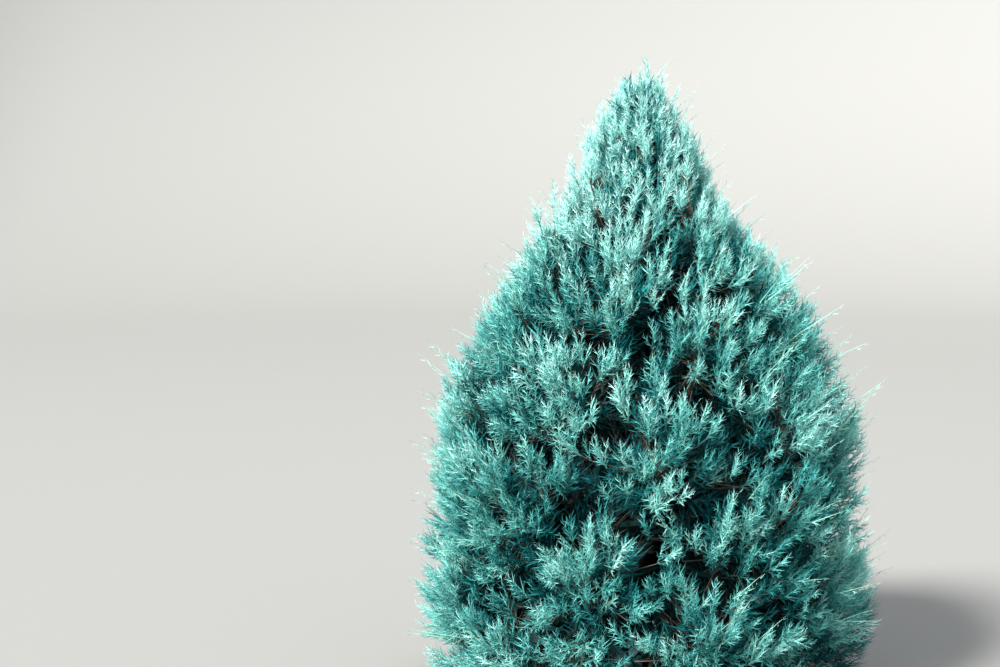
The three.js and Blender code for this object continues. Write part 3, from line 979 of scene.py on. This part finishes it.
def lines_object(lines):
    """A mesh of edges; each line lists its points and the radius at each"""
    points = [tuple(p) for line, _ in lines for p in line]
    radii = [r for _, line_radii in lines for r in line_radii]
    edges, first = [], 0
    for line, _ in lines:
        edges += [(first + i, first + i + 1) for i in range(len(line) - 1)]
        first += len(line)
    mesh = bpy.data.meshes.new("lines")
    mesh.from_pydata(points, edges, [])
    mesh.attributes.new("radius", "FLOAT", "POINT").data.foreach_set("value", radii)
    made = bpy.data.objects.new("lines", mesh)
    bpy.context.collection.objects.link(made)
    return made


young_bark = bark_finish("thin grey-brown bark", YOUNG_DARK, YOUNG_BROWN, YOUNG_GREY)
twig_values = {"Sides": TWIG_SIDES, "Finish": young_bark}
twigs = through_tree(lines_object(twig_lines), stalk_tree(), twig_values, "twigs")
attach(twigs, "root")
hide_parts(*foliage_nodes)


# A spray is a fan of cord-like shoots covered in tiny waxy scale leaves. Its shoots fork again into fine
# tips. Sprays grow in a few patterns; a green one's lower and upper shoots are separate pieces, and the upper
# ones are painted paler, as painted light on the tips.
PATTERNS = 6
FIRST_SEED = 3
SEED_STEP = 11
GREEN = {"Fork": math.radians(27), "Tip fork": math.radians(24), "Thickness": 0.047, "Bend": 0.2, "Tips": 1}
WHIP = {"Fork": math.radians(28), "Tip fork": math.radians(24), "Thickness": 0.045, "Bend": 0.2, "Tips": 1}
BARE = {"Fork": math.radians(34), "Tip fork": math.radians(30), "Bend": 0.08, "Tips": 0}
SPRAY_SHAPES = {
    "lower_shoots": GREEN | {"First": 0.1, "Last": 0.52, "Shoots": 5, "Stalk": 0.018,
                             "First length": 0.46, "Last length": 0.38},
    "upper_shoots": GREEN | {"First": 0.56, "Last": 0.92, "Shoots": 5, "Stalk": 0.0,
                             "First length": 0.34, "Last length": 0.16},
    "whips": WHIP | {"First": 0.12, "Last": 0.88, "Shoots": 7, "Stalk": 0.01,
                     "First length": 0.2, "Last length": 0.09},
    "shaded_sprays": BARE | {"First": 0.08, "Last": 0.8, "Shoots": 7, "Stalk": 0.03, "Thickness": 0.08,
                             "First length": 0.6, "Last length": 0.3},
    "dry_sprays": BARE | {"First": 0.1, "Last": 0.9, "Shoots": 7, "Stalk": 0.025, "Thickness": 0.05,
                          "First length": 0.55, "Last length": 0.25},
    "bare_sprays": BARE | {"First": 0.1, "Last": 0.9, "Shoots": 10, "Stalk": 0.04, "Thickness": 0.13,
                           "First length": 0.6, "Last length": 0.35},
}
KINDS = {
    "lower_shoots": "green",
    "upper_shoots": "green",
    "whips": "whip",
    "shaded_sprays": "shaded",
    "dry_sprays": "dry",
    "bare_sprays": "shade_fill",
}
# Where a part has several tints, from dark to pale, each spray's painted light picks one: painted light and
# shade.
TINTS = {
    "lower_shoots": {
        "shade": (0.004, 0.078, 0.087),
        "deep": (0.014, 0.155, 0.16),
        "teal": (0.046, 0.27, 0.256),
        "aqua": (0.103, 0.395, 0.37),
        "mint": (0.195, 0.525, 0.482),
        "silver": (0.34, 0.685, 0.635),
    },
    # painted light: the upper shoots take paler tints than the lower ones
    "upper_shoots": {
        "shade": (0.01, 0.112, 0.122),
        "deep": (0.033, 0.23, 0.233),
        "teal": (0.094, 0.42, 0.397),
        "aqua": (0.192, 0.58, 0.546),
        "mint": (0.34, 0.74, 0.684),
        "silver": (0.55, 0.89, 0.86),
    },
    "whips": {"pale": (0.34, 0.69, 0.58)},
    # painted shade: the shaded sprays' dark tints stand for the shade deep in the crown
    "shaded_sprays": {
        "dark": (0.003, 0.068, 0.076),
        "dusky": (0.009, 0.138, 0.146),
        "slate": (0.025, 0.225, 0.228),
    },
    # the dry sprays' dark brown is partly their own colour and partly painted shade
    "dry_sprays": {"brown": (0.027, 0.034, 0.032)},
    # painted shade: the gloomy tint of the dark fill stands for shade deep inside the crown
    "bare_sprays": {"gloomy": (0.009, 0.037, 0.039)},
}

# How the shoots of a spray and their tips fork; lengths are shares of the spray's or the shoot's length
SHOOT_SIDES = 3
STALK_WIDEST = 0.1
TIP_THICKER = 1.6
TIPS_FROM = 0.25
TIPS_TO = 0.6
TIP_LENGTHS = (0.5, 0.38)
TURN_VARIES = 0.5
TILT_VARIES = 0.24
SHOOT_VARIES = (0.7, 1.25)
TILT_SEED = 7
LENGTH_SEED = 13
FAN_SEED = 31
MERGE_WITHIN = 1e-4

# How a spray is turned and sized where it stands, and how its painted light, with some random tone, picks its
# tint
ROLL_VARIES = 1.2
WIDTH_VARIES = (0.85, 1.25)
PAINTED_LIGHT_DIMMED = 0.12
TONE_VARIES = 0.2
BRIGHTEST = 0.999

# The waxy scale leaves: how the colour drifts, and how the scales roughen the surface
LEAF_ROUGHNESS = 0.62
LEAF_GLOSS = 0.14
DRIFT_SCALE = 45
DRIFT_DARKER = (0.7, 0.82, 0.85)
DRIFT_PALER = 1.14
LEAF_SHADES_FROM = 0.3
LEAF_SHADES_TO = 0.7
LEAF_SCALES = 700
LEAF_BUMP = 0.35
LEAF_BUMP_DEPTH = 0.0006


def spray_tree():
    """A straight axis with forked shoots along it, which is then bent to one side"""
    shares = ("First", "Last", "First length", "Last length", "Stalk", "Thickness")
    angles = ("Fork", "Tip fork", "Bend")
    counts = ("Shoots", "Tips", "Seed")
    inputs = dict.fromkeys(shares + angles, "Float") | dict.fromkeys(counts, "Int") | {"Finish": "Material"}
    tree, given, result = new_tree("Spray of shoots", inputs)

    def combine(x=0.0, y=0.0, z=0.0):
        return output(add(tree, "ShaderNodeCombineXYZ", {"X": x, "Y": y, "Z": z}))

    def maths(operation, a, b=0.0, c=0.0):
        return output(add(tree, "ShaderNodeMath", {0: a, 1: b, 2: c}, operation=operation))

    def jitter(low, high, seed):
        limits = {"Min": low, "Max": high, "Seed": seed}
        return output(add(tree, "FunctionNodeRandomValue", limits, data_type="FLOAT"))

    def both(first, second):
        pair = add(tree, "GeometryNodeJoinGeometry", {"Geometry": first})
        tree.links.new(second, pair.inputs["Geometry"])
        return output(pair)

    def cone(foot, top, length, ends):
        """A three-sided cone or cup, with its ends closed or open"""
        sizes = {"Vertices": SHOOT_SIDES, "Radius Bottom": foot, "Radius Top": top, "Depth": length}
        sizes |= {"Side Segments": 1}
        return output(add(tree, "GeometryNodeMeshCone", sizes, fill_type=ends), "Mesh")

    def spindle(thickness, widest):
        """A three-sided shoot that is thickest a little above its foot"""
        body = cone(thickness, 0.0, 1 - widest, "NONE")
        lifted = add(tree, "GeometryNodeTransform", {"Geometry": body, "Translation": (0, 0, widest)})
        open_pair = both(cone(0.0, thickness, widest, "NONE"), output(lifted))
        closed = add(tree, "GeometryNodeMergeByDistance", {"Geometry": open_pair, "Distance": MERGE_WITHIN})
        return output(closed)

    def forked(carrier, first, last, count, fork, lengths, shape, seed):
        """The shape, instanced along a line, turned by the golden angle from one to the next"""
        ends = {"Count": count, "Start Location": combine(z=first), "Offset": combine(z=last)}
        line = add(tree, "GeometryNodeMeshLine", ends, mode="END_POINTS")
        index = output(add(tree, "GeometryNodeInputIndex"))
        turn = maths("MULTIPLY_ADD", index, GOLDEN_ANGLE, jitter(-TURN_VARIES, TURN_VARIES, seed))
        tilt = maths("ADD", fork, jitter(-TILT_VARIES, TILT_VARIES, maths("ADD", seed, TILT_SEED)))
        share = maths("DIVIDE", index, maths("MAXIMUM", maths("SUBTRACT", count, 1), 1))
        long = maths("MULTIPLY_ADD", share, maths("SUBTRACT", lengths[1], lengths[0]), lengths[0])
        long = maths("MULTIPLY", long, jitter(*SHOOT_VARIES, maths("ADD", seed, LENGTH_SEED)))
        dealt = {"Points": output(line), "Instance": shape}
        dealt |= {"Rotation": combine(tilt, 0.0, turn), "Scale": combine(long, long, long)}
        placed = output(add(tree, "GeometryNodeInstanceOnPoints", dealt))
        return output(add(tree, "GeometryNodeRealizeInstances", {"Geometry": both(placed, carrier)}))

    seed = given["Seed"]
    thickness = given["Thickness"]
    tip = cone(maths("MULTIPLY", thickness, TIP_THICKER), 0.0, 1.0, "NGON")
    stem = cone(thickness, 0.0, 1.0, "NGON")
    shoot = forked(stem, TIPS_FROM, TIPS_TO, given["Tips"], given["Tip fork"], TIP_LENGTHS, tip, seed)
    has_stalk = output(add(tree, "FunctionNodeCompare", {"A": given["Stalk"]}, data_type="FLOAT"))
    choice = {"Switch": has_stalk, "True": spindle(given["Stalk"], STALK_WIDEST)}
    stalk = output(add(tree, "GeometryNodeSwitch", choice, input_type="GEOMETRY"))
    lengths = (given["First length"], given["Last length"])
    seed = maths("ADD", seed, FAN_SEED)
    fan = forked(stalk, given["First"], given["Last"], given["Shoots"], given["Fork"], lengths, shoot, seed)
    place = output(add(tree, "GeometryNodeInputPosition"))
    height = output(add(tree, "ShaderNodeSeparateXYZ", {"Vector": place}), "Z")
    aside = maths("MULTIPLY", maths("MULTIPLY", height, height), given["Bend"])
    bent = add(tree, "GeometryNodeSetPosition", {"Geometry": fan, "Offset": combine(y=aside)})
    return finished(tree, output(bent), given["Finish"], result)


def dealing_tree():
    """One of a collection's shapes on each point, turned to the point's own directions"""
    tree, given, result = new_tree("Dealt out on points", {"Shapes": "Collection", "Finish": "Material"})

    def attribute(name, kind):
        return output(add(tree, "GeometryNodeInputNamedAttribute", {"Name": name}, data_type=kind))

    from_collection = {"Collection": given["Shapes"], "Separate Children": True, "Reset Children": True}
    shapes = add(tree, "GeometryNodeCollectionInfo", from_collection)
    axes = {
        "Primary Axis": attribute("along", "FLOAT_VECTOR"),
        "Secondary Axis": attribute("facing", "FLOAT_VECTOR"),
    }
    turned = add(tree, "FunctionNodeAxesToRotation", axes, primary_axis="Z", secondary_axis="X")
    dealt = {
        "Points": given["Geometry"],
        "Instance": output(shapes),
        "Pick Instance": True,
        "Instance Index": attribute("pattern", "INT"),
        "Rotation": output(turned),
        "Scale": attribute("size", "FLOAT_VECTOR"),
    }
    placed = add(tree, "GeometryNodeInstanceOnPoints", dealt)
    real = add(tree, "GeometryNodeRealizeInstances", {"Geometry": output(placed)})
    return finished(tree, output(real), given["Finish"], result)


def waxy_leaves(name, colour):
    """Leaves under a pale waxy bloom: the colour shifts a little, and tiny scales roughen the surface"""
    leaves, tree, shader = material_with_nodes(name, LEAF_ROUGHNESS)
    shader.inputs["Specular IOR Level"].default_value = LEAF_GLOSS
    place = output(add(tree, "ShaderNodeTexCoord"), "Object")
    darker = [share * c for share, c in zip(DRIFT_DARKER, colour)]
    paler = [min(1, DRIFT_PALER * c) for c in colour]
    drift = cloudy(tree, place, DRIFT_SCALE)
    shifted = shaded_by(tree, drift, (LEAF_SHADES_FROM, (*darker, 1)), (LEAF_SHADES_TO, (*paler, 1)))
    tree.links.new(shifted, shader.inputs["Base Color"])
    scales = output(add(tree, "ShaderNodeTexVoronoi", {"Vector": place, "Scale": LEAF_SCALES}), "Distance")
    roughen(tree, shader, scales, LEAF_BUMP, LEAF_BUMP_DEPTH)
    return leaves


def spray_patterns(part, tree):
    """A collection of spray shapes, outside the scene"""
    patterns = bpy.data.collections.new(part + " patterns")
    for pattern in range(PATTERNS):
        blank = bpy.data.objects.new("blank", bpy.data.meshes.new("blank"))
        bpy.context.collection.objects.link(blank)
        values = SPRAY_SHAPES[part] | {"Seed": SEED_STEP * pattern + FIRST_SEED, "Finish": young_bark}
        made = through_tree(blank, tree, values, f"{part}_{pattern}")
        bpy.context.collection.objects.unlink(made)
        patterns.objects.link(made)
    return patterns


def point_cloud(rows):
    """Points with the direction, facing, size and pattern of what is dealt out on each"""
    mesh = bpy.data.meshes.new("places")
    mesh.from_pydata([tuple(row["base"]) for row in rows], [], [])
    for label in ("along", "facing", "size"):
        values = np.array([row[label] for row in rows], dtype=np.float32).ravel()
        mesh.attributes.new(label, "FLOAT_VECTOR", "POINT").data.foreach_set("vector", values)
    mesh.attributes.new("pattern", "INT", "POINT").data.foreach_set("value", [row["pattern"] for row in rows])
    made = bpy.data.objects.new("places", mesh)
    bpy.context.collection.objects.link(made)
    return made


for spray in sprays:
    roll = ROLL_VARIES * (chance.random() - 0.5)
    level = unit(np.cross(UP, spray["along"]))
    spray["facing"] = math.cos(roll) * level + math.sin(roll) * np.cross(spray["along"], level)
    width = spray["length"] * chance.uniform(*WIDTH_VARIES)
    spray["size"] = (width, width, spray["length"])
    spray["pattern"] = int(chance.integers(PATTERNS))
    # painted light and shade: the spray's lit level, a little dimmed and varied at random, picks its tint
    glow = spray["lit"] - PAINTED_LIGHT_DIMMED + TONE_VARIES * (chance.random() - 0.5)
    spray["glow"] = float(np.clip(glow, 0, BRIGHTEST))

growing = spray_tree()
dealing = dealing_tree()
for part, kind in KINDS.items():
    patterns = spray_patterns(part, growing)
    tints = TINTS[part]
    of_kind = [spray for spray in sprays if spray["kind"] == kind]
    # each tint is a lit or shaded copy of the same leaves; sprays with more painted light take the paler ones
    for place, (tint, colour) in enumerate(tints.items()):
        cloud = point_cloud([spray for spray in of_kind if int(spray["glow"] * len(tints)) == place])
        finish = waxy_leaves(f"{tint} {part}", colour)
        shoots = through_tree(cloud, dealing, {"Shapes": patterns, "Finish": finish}, f"{tint}_{part}")
        shoots.data.polygons.foreach_set("use_smooth", [False] * len(shoots.data.polygons))
        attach(shoots, "root")
        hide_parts(*foliage_nodes)
    for pattern in list(patterns.objects):
        bpy.data.objects.remove(pattern)
    bpy.data.collections.remove(patterns)
